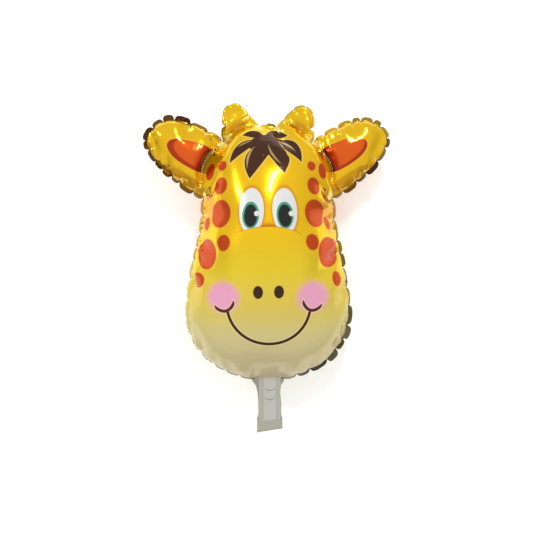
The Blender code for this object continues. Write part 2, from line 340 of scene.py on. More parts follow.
def earWeldLine(size, count=60):
    # The weld that keeps the ear's root flat, bowed along the head's own edge
    top = np.array(hornNotches(size)[1])
    drop = np.array((0.5 * size["templeWidth"], size["templeHeight"])) - top
    sideways = np.array((-drop[1], drop[0]))
    shares = np.linspace(size["earWeldStart"], size["earWeldEnd"], count)
    bow = size["earWeldBow"] * np.sin(math.pi * shares)
    return top + shares[:, None] * drop + bow[:, None] * sideways


# How the foil's points are spread: rows along the rim, each so far in and at least so far from the cut edge
# in rim widths, and so far apart in steps; then the same limits for the ears' welds and for the even fill
spread = {
    "rimRows": ((0.5, 0.47, 0.4), (1.0, 0.96, 0.5)), "weldMargin": 1.1, "weldSpacing": 0.5,
    "fillMargin": 0.55, "fillSpacing": 0.62, "rimReach": 1.03, "weldReach": 0.3,
}


def cutFoil(line):
    # One flat foil: points along its rim and welds, an even fill, and triangles between them
    closed = np.vstack((line, line[:1]))
    inward = inwardOf(line)
    placed = list(line)

    def place(points, margin, spacing):
        for point in points[isInside(points, line) & (distanceTo(points, closed) > margin)]:
            if np.linalg.norm(np.array(placed) - point, axis=1).min() > spacing:
                placed.append(point)

    for depth, margin, apart in spread["rimRows"]:
        place(line + inward * depth * rim["width"], margin * rim["width"], apart * step)
    weld = earWeldLine(cut)
    weld = pointsAlong(weld, np.linspace(0.0, 1.0, round(lengthOf(weld) / step) + 1))
    for side in weldSides:
        place(weld * (side, 1.0), spread["weldMargin"] * rim["width"], spread["weldSpacing"] * step)

    low, high = line.min(axis=0), line.max(axis=0)
    rowStep = 0.5 * math.sqrt(3.0) * step
    columns = int(high[0] / step) + 2
    grid = np.array([((column + 0.5 * (row % 2)) * step, low[1] + row * rowStep)
                     for row in range(int((high[1] - low[1]) / rowStep) + 1)
                     for column in range(-columns, columns + 1)])
    margin = rim["width"] + spread["fillMargin"] * step
    grid = grid[isInside(grid, line) & (distanceTo(grid, closed) > margin)]
    fixed = np.array(placed)
    grid = np.array([point for point in grid
                     if np.linalg.norm(fixed - point, axis=1).min() > spread["fillSpacing"] * step])
    count = len(line)
    result = geometry.delaunay_2d_cdt([Vector(point) for point in np.vstack((fixed, grid))],
                                      [(index, (index + 1) % count) for index in range(count)], [], 1, 1e-9)
    points = np.array([tuple(point) for point in result[0]])
    triangles = np.array([tuple(face) for face in result[2]])
    # The distance to the nearer ear's weld counts as negative on the head's side of it
    toWeld = np.minimum(*(distanceTo(points, weld * (side, 1.0)) for side in weldSides))
    weldAt = np.interp(points[:, 1], weld[::-1, 1], weld[::-1, 0])
    weldAt *= np.where(points[:, 0] > 0.0, *weldSides)
    toWeld *= np.where(np.abs(points[:, 0]) > np.abs(weldAt), 1.0, -1.0)
    return points, triangles, distanceTo(points, closed), toWeld


def drawnIn(points, triangles, inRim, flatLine, fullLine, values):
    # Where filling draws each point of the foil: the rim on to its filled outline, the rest evenly between
    inward = inwardOf(fullLine)
    seam = fullLine + inward * values["inset"][:, None]
    index, share, distance = nearestOn(points, np.vstack((flatLine, flatLine[:1])))
    following = (index + 1) % len(flatLine)

    def onRim(rows):
        part = share if rows.ndim == 1 else share[:, None]
        return rows[index] * (1.0 - part) + rows[following] * part

    outward = -onRim(inward)
    outward /= np.linalg.norm(outward, axis=1)[:, None]
    width = np.clip(rim["width"] - distance, 0.0, rim["width"]) * onRim(values["width"])
    tilt = onRim(values["tilt"])
    goal = np.column_stack((onRim(seam) + outward * (width * np.cos(tilt))[:, None],
                            width * np.sin(tilt) + onRim(values["lift"])))
    flat = np.column_stack((points, np.zeros(len(points))))
    shift = np.where(inRim[:, None], goal - flat, 0.0)

    edges = np.vstack((triangles[:, [0, 1]], triangles[:, [1, 2]], triangles[:, [2, 0]]))
    edges = np.unique(np.sort(edges, axis=1), axis=0)
    links = np.bincount(edges.ravel(), minlength=len(points)).astype(float)[:, None]

    def unevenness(rows):
        result = links * rows
        np.add.at(result, edges[:, 0], -rows[edges[:, 1]])
        np.add.at(result, edges[:, 1], -rows[edges[:, 0]])
        result[inRim] = 0.0
        return result

    # Conjugate gradients even out the shift of the points inside the rim
    left = -unevenness(shift)
    search = left.copy()
    size = (left * left).sum()
    for _ in range(600):
        pull = unevenness(search)
        amount = size / (search * pull).sum()
        shift += amount * search
        left -= amount * pull
        newSize = (left * left).sum()
        if newSize < 1e-12:
            break
        search = left + newSize / size * search
        size = newSize
    return flat + shift, onRim(values["edge"]), onRim(values["dark"])


# The filling, over so many frames, and the film as Blender's cloth settings have it
filling = {"frames": 34, "drawnBy": 12, "tailPressure": 0.10, "startGap": 0.0008}
filmCloth = {
    "uniform_pressure_force": 120.0, "quality": 6, "mass": 0.1,
    "tension_stiffness": 400.0, "compression_stiffness": 5.0, "shear_stiffness": 10.0,
    "bending_stiffness": 0.5, "tension_damping": 5.0, "compression_damping": 5.0, "shear_damping": 5.0,
    "bending_damping": 0.5, "air_damping": 1.5,
}


def blowUp(points, triangles, pinned, welded, goal):
    # Both foils as one cloth that shares its welds; the rim is drawn in while the pressure fills the rest
    held = pinned | welded
    count = len(points)
    free = np.flatnonzero(~held)
    backOf = np.arange(count)
    backOf[free] = count + np.arange(len(free))
    gap = np.where(held, 0.0, filling["startGap"])
    places = np.vstack((np.column_stack((points, gap)), np.column_stack((points[free], -gap[free]))))
    unwelded = triangles[~held[triangles].all(axis=1)]
    mesh = bpy.data.meshes.new("foils")
    mesh.from_pydata(places.tolist(), [], np.vstack((triangles, backOf[unwelded][:, ::-1])).tolist())
    foils = bpy.data.objects.new("foils", mesh)
    scene.collection.objects.link(foils)

    foils.shape_key_add(name="flat")
    drawn = foils.shape_key_add(name="drawn")
    drawn.data.foreach_set("co", np.vstack((goal, goal[free])).astype(np.float32).ravel())
    drawn.value = 0.0
    drawn.keyframe_insert("value", frame=1)
    drawn.value = 1.0
    drawn.keyframe_insert("value", frame=filling["drawnBy"])

    force = np.where(places[:, 1] < 0.0, filling["tailPressure"], 1.0)
    force[:count][held] = 0.0
    pressed = foils.vertex_groups.new(name="pressed")
    for weight in np.unique(force):
        pressed.add(np.flatnonzero(force == weight).tolist(), float(weight), "REPLACE")
    foils.vertex_groups.new(name="pinned").add(np.flatnonzero(pinned).tolist(), 1.0, "REPLACE")

    cloth = foils.modifiers.new("filling", "CLOTH")
    cloth.collision_settings.use_collision = False
    cloth.point_cache.frame_start, cloth.point_cache.frame_end = 1, filling["frames"]
    settings = cloth.settings
    settings.vertex_group_mass = "pinned"
    settings.use_pressure = True
    settings.vertex_group_pressure = "pressed"
    for name, value in filmCloth.items():
        setattr(settings, name, value)
    settings.effector_weights.gravity = 0.0
    for number in range(1, filling["frames"] + 1):
        scene.frame_set(number)
    filled = foils.evaluated_get(bpy.context.evaluated_depsgraph_get()).to_mesh()
    result = np.zeros(len(filled.vertices) * 3, np.float32)
    filled.vertices.foreach_get("co", result)
    result = result.reshape(-1, 3).astype(float)
    bpy.data.objects.remove(foils)
    scene.frame_set(1)
    return result[:count], result[backOf]


skin = {
    # from each depth inwards the foil is calmed so many times, and swollen back by so much each time
    "calms": ((0.002, 14, -0.52), (0.005, 14, -0.52), (0.009, 12, -0.52), (0.013, 8, -0.3), (0.018, 8, 0.0),
              (0.024, 8, 0.0), (0.031, 8, 0.0), (0.039, 8, 0.0), (0.048, 8, 0.0)),
    "calm": 0.5,
    "headCalm": 2.5,                    # on the head beside an ear's weld, depth counts so many times over
    "restsBelow": 0.0040, "seamHeight": 0.0586, "hornValley": 0.30, "hornValleyWidth": 0.008,
}


def closedSkin(points, triangles, front, back, toRim, toWeld, edge, dark, held):
    # The front foil, a copy turned over for the back, and the cut edge between them
    bm = bmesh.new()
    cutAt = bm.verts.layers.float_vector.new("cutAt")      # place on the flat foil; z is 1 on the back
    # distance to the rim, nearness to a pucker from 0 to 1, and distance to the ear's weld
    rimAt = bm.verts.layers.float_vector.new("rimAt")
    rimDark = bm.verts.layers.float.new("rimDark")
    verts = [bm.verts.new(place) for place in front]
    for vert, point, rimGap, toPucker, weldGap, tone in zip(verts, points, toRim, edge, toWeld, dark):
        vert[cutAt] = (point[0], point[1], 0.0)
        vert[rimAt] = (rimGap, toPucker, weldGap)
        vert[rimDark] = tone
    faces = [bm.faces.new([verts[corner] for corner in triangle]) for triangle in triangles]
    copied = bmesh.ops.duplicate(bm, geom=verts + faces)
    turned = [copied["vert_map"][vert] for vert in verts]
    bmesh.ops.reverse_faces(bm, faces=[copied["face_map"][face] for face in faces])
    for vert, place in zip(turned, back):
        vert.co = place
        vert[cutAt] = (vert[cutAt][0], vert[cutAt][1], 1.0)
    hornLine = np.array(hornNotches(cut))
    toHorn = np.minimum(distanceTo(points, hornLine), distanceTo(points, hornLine * (-1.0, 1.0)))
    valley = skin["hornValley"] * np.exp(-(toHorn / skin["hornValleyWidth"]) ** 2)
    inside = np.minimum(toRim - rim["width"], np.maximum(toWeld, -skin["headCalm"] * toWeld))
    for sheet in (verts, turned):
        for vert, share in zip(sheet, valley):
            vert.co.z *= 1.0 - share
        for depth, passes, swellBack in skin["calms"]:
            calm = [vert for vert, gap in zip(sheet, inside) if gap > depth]
            for factor in ((skin["calm"], swellBack) if swellBack else (skin["calm"],)) * passes:
                bmesh.ops.smooth_vert(bm, verts=calm, factor=factor, use_axis_x=True, use_axis_y=True,
                                      use_axis_z=True)
    top = max(vert.co.z for vert in verts)
    swell = (cadBox[1][2] - skin["seamHeight"]) / top
    chin = cadBox[0][1] + balloon["tailLength"] + 0.5 * balloon["tailEndSlant"]
    floor = skin["restsBelow"]
    for sheet, side in ((verts, 1.0), (turned, -1.0)):
        for vert, isHeld in zip(sheet, held):
            if isHeld:
                vert.co.z += side * rim["foilGap"]
            else:
                vert.co.z = vert.co.z * swell + side * rim["foilGap"]
            vert.co.z += skin["seamHeight"]
            if vert.co.z < floor:
                # The back is pressed flat where it rests
                vert.co.z = floor * math.exp((vert.co.z - floor) / floor) if vert.co.z > -floor else 0.0
            vert.co.y += chin
    bmesh.ops.bridge_loops(bm, edges=[e for e in bm.edges if e.is_boundary])
    bmesh.ops.triangulate(bm, faces=[face for face in bm.faces if len(face.verts) > 3])
    bmesh.ops.subdivide_edges(bm, edges=bm.edges[:], cuts=1, smooth=1.0, use_grid_fill=True)
    for vert in bm.verts:
        vert.co.z = max(vert.co.z, 0.0)
    bmesh.ops.triangulate(bm, faces=[face for face in bm.faces if len(face.verts) > 3])
    return bm


def finishMesh(bm, name, material):
    mesh = bpy.data.meshes.new(name)
    bm.to_mesh(mesh)
    bm.free()
    mesh.materials.append(material)
    mesh.shade_smooth()
    piece = bpy.data.objects.new(name, mesh)
    scene.collection.objects.link(piece)
    return piece


print("cutting the foils")
rightPlan, leftPlan = [lobePlan(seed, side) for side, seed in enumerate(rim["seeds"])]
flatLine = rimLine(cut, rightPlan, leftPlan)
fullLine = rimLine(balloon, rightPlan, leftPlan)
values = {name: rimValues(rightPlan, leftPlan, name)
          for name in ("edge", "dark", "tilt", "width", "inset", "lift")}
points, triangles, toRim, toWeld = cutFoil(flatLine)
inRim = toRim < spread["rimReach"] * rim["width"]
pinned = inRim | (points[:, 1] < balloon["tailBandLength"] - balloon["tailLength"])
welded = np.abs(toWeld) < spread["weldReach"] * step
goal, edge, dark = drawnIn(points, triangles, inRim, flatLine, fullLine, values)

print("blowing the foils up:", len(points), "points a foil")
front, back = blowUp(points, triangles, pinned, welded, goal)
bm = closedSkin(points, triangles, front, back, toRim, toWeld, edge, dark, pinned | welded)
print("closed skin:", len(bm.faces), "faces, thickness", round(max(v.co.z for v in bm.verts), 4))

# Where the camera sees each point of the front foil, in the photo's pixels, to place the print
cutLayer = bm.verts.layers.float_vector["cutAt"]
frontRows = np.array([(*vert.co, *vert[cutLayer]) for vert in bm.verts if vert[cutLayer][2] < 0.001])
seamDistance = photo["cameraHeight"] - skin["seamHeight"]
seenScale = seamDistance / (photo["cameraHeight"] - frontRows[:, 2]) / photo["pixel"]
middle = 0.5 * photo["size"]
cameraAt = ((middle - photo["originX"]) * photo["pixel"], (photo["originY"] - middle) * photo["pixel"])
seenAt = np.column_stack((middle + (frontRows[:, 0] - cameraAt[0]) * seenScale,
                          middle - (frontRows[:, 1] - cameraAt[1]) * seenScale))


def printAt(pixel, count=10):
    # The place on the flat foil that the camera sees at a pixel of the photo, by the mesh points near it
    offset = seenAt - np.array(pixel)
    near = np.argsort((offset * offset).sum(axis=1))[:count]
    rows = np.column_stack((np.ones(len(near)), offset[near]))
    fit = np.linalg.lstsq(rows, frontRows[near, 3:5], rcond=None)[0]
    return fit[0]


def inkOf(red, green, blue):
    # A colour as a screen shows it, 0 to 255, made linear
    return tuple(((value / 255.0 + 0.055) / 1.055) ** 2.4 if value > 10 else value / 255.0 / 12.92
                 for value in (red, green, blue)) + (1.0,)


def wire(node, sockets):
    # Feeds a node's sockets, each from another socket or with a plain value
    for key, value in sockets.items():
        if isinstance(value, bpy.types.NodeSocket):
            node.id_data.links.new(value, node.inputs[key])
        else:
            node.inputs[key].default_value = value


def addNode(tree, kind, sockets=None, **values):
    node = tree.nodes.new(kind)
    for name, value in values.items():
        setattr(node, name, value)
    wire(node, sockets or {})
    return node


def calc(operation, *inputs):
    # A sum in the node tree that the sockets among the inputs are in
    tree = next(value.id_data for value in inputs if isinstance(value, bpy.types.NodeSocket))
    return addNode(tree, "ShaderNodeMath", dict(enumerate(inputs)), operation=operation).outputs[0]


def between(value, low, high, toLow=0.0, toHigh=1.0, shape="SMOOTHSTEP"):
    # A smooth step of value from low to high
    ends = dict(enumerate((value, low, high, toLow, toHigh)))
    return addNode(value.id_data, "ShaderNodeMapRange", ends, interpolation_type=shape).outputs[0]


def product(*values):
    whole = values[0]
    for value in values[1:]:
        whole = calc("MULTIPLY", whole, value)
    return whole


def inked(under, ink, mask):
    # An ink over what is under it; each is a socket, a colour or the name of an ink
    under, ink = [inks[value] if isinstance(value, str) else value for value in (under, ink)]
    sockets = {0: mask, 6: under, 7: ink}
    return addNode(mask.id_data, "ShaderNodeMix", sockets, data_type="RGBA").outputs[2]


def noiseOn(at, scale):
    return addNode(at.id_data, "ShaderNodeTexNoise", {"Scale": scale, "Vector": at}).outputs[0]


def newGroup(name, places, sizes, outputs):
    group = bpy.data.node_groups.new(name, "ShaderNodeTree")
    for label in places + sizes + outputs:
        group.interface.new_socket(name=label, in_out="OUTPUT" if label in outputs else "INPUT",
                                   socket_type="NodeSocketVector" if label in places else "NodeSocketFloat")
    return group, addNode(group, "NodeGroupInput").outputs, addNode(group, "NodeGroupOutput")


def fromStart(group, given):
    # How far from a mark's start a place lies, along the mark and to the left of it
    offset = addNode(group, "ShaderNodeVectorMath", {0: given["at"], 1: given["start"]}, operation="SUBTRACT")
    turned = addNode(group, "ShaderNodeVectorRotate", rotation_type="Z_AXIS")
    wire(turned, {"Vector": offset.outputs[0], "Angle": product(given["turn"], -1.0)})
    return addNode(group, "ShaderNodeSeparateXYZ", {0: turned.outputs[0]}).outputs[:2]


def ovalGroup():
    # An oval about its start: how far inside it a place on the foil is, in metres, negative outside
    sizes = ("turn", "halfWidth", "halfHeight")
    group, given, out = newGroup("ovalMark", ("at", "start"), sizes, ("inside",))
    ahead, aside = fromStart(group, given)
    across = calc("DIVIDE", ahead, given["halfWidth"])
    upward = calc("DIVIDE", aside, given["halfHeight"])
    reach = calc("SQRT", calc("ADD", product(across, across), product(upward, upward)))
    mean = product(calc("ADD", given["halfWidth"], given["halfHeight"]), 0.5)
    wire(out, {"inside": product(calc("SUBTRACT", 1.0, reach), mean)})
    return group


def bowGroup():
    # A bowed line: the share of its length that a place has reached, and how far to its left the place is,
    # in metres square to the line
    group, given, out = newGroup("bowLine", ("at", "start"), ("turn", "length", "bow"), ("along", "off"))
    ahead, aside = fromStart(group, given)
    along = calc("DIVIDE", ahead, given["length"])
    arch = product(along, calc("SUBTRACT", 1.0, along), 4.0)
    rise = calc("DIVIDE", product(given["bow"], 4.0), given["length"])
    slope = product(rise, calc("SUBTRACT", 1.0, product(along, 2.0)))
    stretch = calc("SQRT", calc("ADD", 1.0, product(slope, slope)))
    above = calc("SUBTRACT", aside, product(arch, given["bow"]))
    wire(out, {"along": along, "off": calc("DIVIDE", above, stretch)})
    return group


ovalMark = ovalGroup()
bowLine = bowGroup()
pixel = photo["pixel"]
halfPixel = 0.5 * pixel

# The print, in the photo's pixels. An oval is its centre, half width, half height and, at times, its turn
face = {
    "spots": (
        (222.5, 166.0, 3.9, 4.6), (210.6, 172.0, 3.8, 7.7), (220.7, 186.0, 5.8, 8.3),
        (220.7, 214.0, 8.8, 13.8), (207.4, 224.0, 2.5, 6.2), (223.4, 243.0, 6.3, 8.0),
        (207.0, 254.0, 8.8, 15.0), (199.0, 280.0, 4.1, 7.4),
        (311.4, 166.0, 3.9, 4.6), (322.4, 171.0, 3.8, 7.7), (313.7, 186.0, 5.8, 8.3),
        (314.8, 213.5, 8.8, 13.8), (326.8, 223.0, 2.5, 6.2), (312.5, 242.0, 6.3, 8.0),
        (328.0, 252.0, 8.8, 15.0), (336.6, 278.5, 4.1, 7.4),
    ),
    "eyes": ((251.3, 211.0, 12.4, 23.0), (285.1, 211.0, 12.4, 23.0)),
    "irises": ((250.5, 215.1, 8.5, 13.4), (285.1, 215.1, 8.5, 13.4)),
    "pupils": ((250.6, 215.6, 6.6, 11.2), (285.1, 215.6, 6.7, 11.2)),
    "glints": ((256.7, 213.5, 2.6, 2.7), (291.4, 213.5, 2.6, 2.7)),
    # painted shade, darker gold where the film turns down: the ears' undersides, the left ear's tip and the
    # horns' roots
    "ambers": ((180.0, 181.0, 34.0, 13.0, 0.55), (356.0, 180.0, 34.0, 13.0, -0.55),
               (146.0, 152.0, 9.0, 16.0, 0.0),
               (238.0, 128.0, 13.0, 7.0, -0.3), (298.0, 128.0, 13.0, 7.0, 0.35)),
    # a painted peach reflection on the sides of the head beside the eyes
    "peaches": ((209.0, 212.0, 7.0, 22.0), (328.0, 212.0, 7.0, 26.0)),
    "nostrils": ((258.0, 292.5, 5.0, 6.5), (279.0, 292.0, 5.0, 6.5)),
    "cheeks": ((223.5, 297.0, 19.5, 19.5), (312.5, 296.5, 19.5, 19.5)),
    # the mouth is the lower part of a ring, up to the pixel where it ends
    "mouth": (268.8, 301.6, 42.0, 42.1), "mouthHalfWidth": 1.5, "mouthEnd": (228.0, 311.5),
    # start, end, bow to the left of the way from start to end, and half width
    "dimples": (((216.2, 307.9), (233.3, 303.9), -5.2, 1.6), ((303.6, 303.3), (320.2, 306.7), -5.3, 1.6)),
    "muzzleTop": ((235.6, 233.5), (302.0, 234.0), 7.6, 0.6),
    # each lock of the tuft runs from its root to its tip between two bowed edges
    "locks": (
        ((266.0, 137.0), (242.0, 135.6), -5.6, 1.5), ((264.5, 137.0), (287.7, 135.6), 5.6, -1.5),
        ((262.0, 140.0), (229.6, 163.7), -10.2, -1.0), ((268.0, 140.0), (301.5, 162.3), 12.8, 1.5),
        ((264.0, 143.0), (249.6, 178.7), -12.0, 4.0), ((268.9, 154.0), (249.6, 178.7), -8.0, 0.3),
        ((268.9, 155.2), (284.5, 172.8), 14.0, 0.0), ((270.0, 140.0), (284.5, 172.8), 10.0, -5.0),
    ),
    "tuft": (266.8, 145.0, 17.5, 10.2),
    "strands": (
        ((252.0, 140.6), (237.5, 147.2), -1.4, -0.2), ((254.6, 146.5), (247.2, 168.5), -4.0, -1.6),
        ((268.2, 144.5), (281.2, 163.6), -3.0, -1.0), ((276.8, 141.0), (295.4, 151.6), 2.6, 0.8),
        ((278.4, 141.6), (284.4, 149.4), 0.6, -0.4),
    ),
    # the orange inside of each ear, an oval that the weld cuts off: centre, reach to its outer end, half
    # height and turn; then the lighter part of it
    "innerEars": ((200.0, 158.0, -36.0, 13.7, 0.421), (335.5, 157.1, 35.0, 13.4, -0.443)),
    "earLights": ((204.0, 156.6, -33.0, 13.4, 0.421), (331.5, 155.8, 36.5, 13.6, -0.443)),
    # crinkled patches along the ears' welds and at the left horn's root, painted dark as shade in the
    # crinkles
    "crinkles": ((216.3, 151.0, 2.4, 4.8), (224.0, 138.5, 4.5, 2.2), (208.6, 193.5, 2.8, 7.5),
                 (319.5, 152.5, 2.4, 5.0), (325.2, 196.0, 2.4, 8.5)),
}

# The body's inks down the middle of the head: the pixel row where each is pure
bodyLevels = ((128.0, "crown"), (225.0, "brow"), (268.0, "muzzle"), (303.0, "cheek"), (320.0, "lip"),
              (338.0, "jaw"), (372.0, "chin"))
inks = {name: inkOf(*tone) for name, tone in {
    "crown": (234, 186, 8), "brow": (250, 199, 0), "muzzle": (232, 203, 36), "cheek": (220, 194, 76),
    "lip": (215, 196, 102), "jaw": (212, 199, 136), "chin": (210, 195, 154),
    "spot": (200, 72, 0), "spotEdge": (246, 170, 40), "paintedShade": (190, 122, 0), "paintedReflectionWash": (226, 150, 66),
    "ear": (226, 92, 8), "earShade": (178, 52, 0), "earRed": (172, 34, 0), "earDeep": (92, 6, 0),
    "earEdge": (248, 190, 50), "paintedGlintDash": (252, 238, 200), "crinkle": (140, 58, 8),
    "hair": (72, 40, 22), "hairStrand": (186, 158, 104), "hairEdge": (252, 220, 110),
    "eye": (236, 236, 234), "iris": (74, 156, 130), "pupil": (34, 38, 34), "halo": (216, 130, 10),
    "line": (48, 10, 16), "lineEdge": (246, 220, 150), "dimple": (80, 18, 44), "arc": (186, 116, 4),
    "nostril": (56, 24, 2), "blush": (232, 158, 196), "crease": (255, 226, 130),
    "rimBrown": (64, 28, 2), "rimOlive": (36, 30, 8), "tail": (190, 188, 181),
    "tailWeld": (179, 178, 166), "tailMark": (152, 150, 138), "tailEnd": (172, 170, 156),
}.items()}

# How a mark's ink comes in: from and to how far inside the mark's edge, in half pixels, and its most
fades = {
    "fine": (-1.0, 1.0, 1.0), "crisp": (-0.8, 0.8, 1.0), "spotEdge": (-2.4, -0.6, 1.0),
    "earEdge": (-2.6, -1.2, 1.0), "earLight": (-1.0, 2.0, 1.0), "crinkle": (-1.0, 2.0, 1.0),
    "lineEdge": (-3.0, -1.0, 0.6), "hairEdge": (-3.0, -1.0, 0.8), "halo": (-9.0, 0.0, 0.75),
    "bridge": (12.0, 0.0, 1.0), "blush": (0.0, 19.0, 0.92), "paintedReflectionWash": (0.0, 10.0, 0.6),
    "paintedShade": (0.0, 14.0, 0.65),
}


def axesOf(turn):
    ahead = np.array((math.cos(turn), math.sin(turn)))
    return ahead, np.array((-ahead[1], ahead[0]))


def seenPair(x, y, way, reach):
    # Two places on the flat foil, seen at so many pixels to either side of a pixel
    return [printAt(np.array((x, y)) + side * reach * way) for side in (-1.0, 1.0)]


def placeMark(group, at, start, ahead, **sizes):
    # A mark laid on the flat foil: where it starts, which way it points, and its sizes
    sockets = {"at": at, "start": (*start, 0.0), "turn": math.atan2(ahead[1], ahead[0]), **sizes}
    return addNode(at.id_data, "ShaderNodeGroup", sockets, node_tree=group).outputs


def ovalOn(at, oval):
    # An oval of the print, laid on the flat foil so that the camera sees it at its place and size
    x, y, halfWidth, halfHeight, turn = (*oval, 0.0)[:5]
    ahead, aside = axesOf(turn)
    ends = seenPair(x, y, ahead, halfWidth)
    tops = seenPair(x, y, aside, halfHeight)
    centre = 0.25 * (ends[0] + ends[1] + tops[0] + tops[1])
    across = ends[1] - ends[0]
    return placeMark(ovalMark, at, centre, across, halfWidth=0.5 * math.dist(*ends),
                     halfHeight=0.5 * math.dist(*tops))["inside"]


def cutOvalOn(at, oval):
    # An oval whose far half is cut off, so it is placed by its outer end and its two sides alone
    x, y, reach, halfHeight, turn = oval
    ahead, aside = axesOf(turn)
    sides = seenPair(x, y, aside, halfHeight)
    centre = 0.5 * (sides[0] + sides[1])
    along = printAt(np.array((x, y)) + reach * ahead) - centre
    return placeMark(ovalMark, at, centre, along, halfWidth=math.hypot(*along),
                     halfHeight=0.5 * math.dist(*sides))["inside"]


def bowOn(at, start, end, bow):
    # A bowed line of the print, from start to end, and its length on the flat foil
    first, last = printAt(start), printAt(end)
    ahead = np.array(end) - np.array(start)
    left = np.array((ahead[1], -ahead[0])) / np.linalg.norm(ahead)
    peak = printAt(0.5 * (np.array(start) + np.array(end)) + bow * left)
    along = last - first
    length = math.hypot(*along)
    rise = float(along[0] * (peak - first)[1] - along[1] * (peak - first)[0]) / length
    mark = placeMark(bowLine, at, first, along, length=length, bow=rise)
    return mark["along"], mark["off"], length


def leafOn(at, leaf):
    # How far inside a leaf between two bowed lines a place is
    start, end, oneBow, otherBow = leaf
    along, above, length = bowOn(at, start, end, max(oneBow, otherBow))
    below = bowOn(at, start, end, min(oneBow, otherBow))[1]
    sides = calc("MINIMUM", product(above, -1.0), below)
    ends = product(calc("MINIMUM", along, calc("SUBTRACT", 1.0, along)), length)
    return calc("MINIMUM", sides, ends)


def strokeOn(at, stroke, tapered=False):
    # A pen line, bowed, with round ends or tapered ones
    start, end, bow, halfWidth = stroke
    along, off, length = bowOn(at, start, end, bow)
    past = calc("SUBTRACT", calc("ABSOLUTE", calc("SUBTRACT", along, 0.5)), 0.5)
    past = product(calc("MAXIMUM", past, 0.0), length)
    reach = calc("SQRT", calc("ADD", product(off, off), product(past, past)))
    width = halfWidth * pixel
    if tapered:
        arch = product(along, calc("SUBTRACT", 1.0, along), 4.0)
        width = product(calc("MAXIMUM", arch, 0.0), width)
    return calc("SUBTRACT", width, reach)


def marksOn(at, markOn, name):
    # How far inside the nearest of the print's marks of one name a place is
    whole = None
    for mark in face[name]:
        inside = markOn(at, mark)
        whole = inside if whole is None else calc("MAXIMUM", whole, inside)
    return whole


def fade(inside, name):
    low, high, most = fades[name]
    return between(inside, low * halfPixel, high * halfPixel, 0.0, most)


def bodyInk(upward):
    # Yellow on the crown, fading to cream at the chin
    heights = [float(printAt((photo["originX"], row))[1]) for row, ink in bodyLevels]
    upBody = between(upward, heights[-1], heights[0], shape="LINEAR")
    ramp = addNode(upward.id_data, "ShaderNodeValToRGB", {0: upBody})
    stops = ramp.color_ramp.elements
    for index, (height, (row, ink)) in enumerate(zip(heights[::-1], bodyLevels[::-1])):
        share = (height - heights[-1]) / (heights[0] - heights[-1])
        stop = stops[index] if index < 2 else stops.new(share)
        stop.position = share
        stop.color = inks[ink]
    return ramp.outputs[0]


# How the ears' orange deepens towards the weld, by the distance to it: painted shade in the weld's crease
earShades = {"earRed": (0.024, 0.011), "earDeep": (0.013, 0.006)}


def earInk(at, toWeld, colour):
    ears = marksOn(at, cutOvalOn, "innerEars")
    lights = marksOn(at, cutOvalOn, "earLights")
    onEar = fade(toWeld, "fine")
    ink = inked("earShade", "ear", fade(lights, "earLight"))
    for name, reach in earShades.items():
        ink = inked(ink, name, between(toWeld, *reach))
    colour = inked(colour, "earEdge", product(fade(ears, "earEdge"), onEar))
    return inked(colour, ink, product(fade(ears, "fine"), onEar))


# The row of painted glints, pale dashes on the head's side of each ear's weld, and the noise that bends and
# crinkles it
paintedGlintRow = {
    "pitch": 0.0034, "fromWeld": 0.0016, "width": (0.0026, 0.0014), "rounding": (0.0, 0.5), "share": 0.95,
    "rows": (186.0, 148.0), "rowsAt": 208.0, "endFade": 0.001,     # from and to these rows of pixels
    "noiseScale": 420.0, "bend": 5.0, "crinkled": (0.46, 0.56),
}


def crinkleInk(at, upward, toWeld, colour):
    # Painted glints in a row of pale dashes where the weld's puckers catch the light, and painted shade in
    # the dark crinkles at its ends
    noise = noiseOn(at, paintedGlintRow["noiseScale"])
    turns = product(upward, 2.0 * math.pi / paintedGlintRow["pitch"])
    wave = calc("SINE", calc("ADD", turns, product(noise, paintedGlintRow["bend"])))
    beside = calc("ABSOLUTE", calc("ADD", toWeld, paintedGlintRow["fromWeld"]))
    low, high = [float(printAt((paintedGlintRow["rowsAt"], row))[1]) for row in paintedGlintRow["rows"]]
    soft = paintedGlintRow["endFade"]
    reach = product(between(upward, low - soft, low + soft), between(upward, high + soft, high - soft))
    paintedGlintDashes = product(between(beside, *paintedGlintRow["width"]),
                       between(wave, *paintedGlintRow["rounding"]), reach, paintedGlintRow["share"])
    colour = inked(colour, "paintedGlintDash", paintedGlintDashes)
    patches = fade(marksOn(at, ovalOn, "crinkles"), "crinkle")
    dark = product(patches, between(noise, *paintedGlintRow["crinkled"]))
    return inked(colour, "crinkle", dark)


bridgeEnds = ((0.12, 0.4), (0.88, 0.6))     # shares of the muzzle's top between which its shade is full


def eyesInk(at, colour):
    along, muzzleOff = bowOn(at, *face["muzzleTop"][:3])[:2]
    aboveMuzzle = fade(muzzleOff, "fine")
    halo = fade(marksOn(at, ovalOn, "eyes"), "halo")
    bridge = product(fade(muzzleOff, "bridge"), *(between(along, *ends) for ends in bridgeEnds))
    colour = inked(colour, "halo", product(calc("MAXIMUM", halo, bridge), aboveMuzzle))
    arc = strokeOn(at, face["muzzleTop"], tapered=True)
    colour = inked(colour, "arc", fade(arc, "fine"))
    for name, ink in (("eyes", "eye"), ("irises", "iris"), ("pupils", "pupil"), ("glints", "eye")):
        part = fade(marksOn(at, ovalOn, name), "crisp")
        colour = inked(colour, ink, product(part, aboveMuzzle))
    return colour


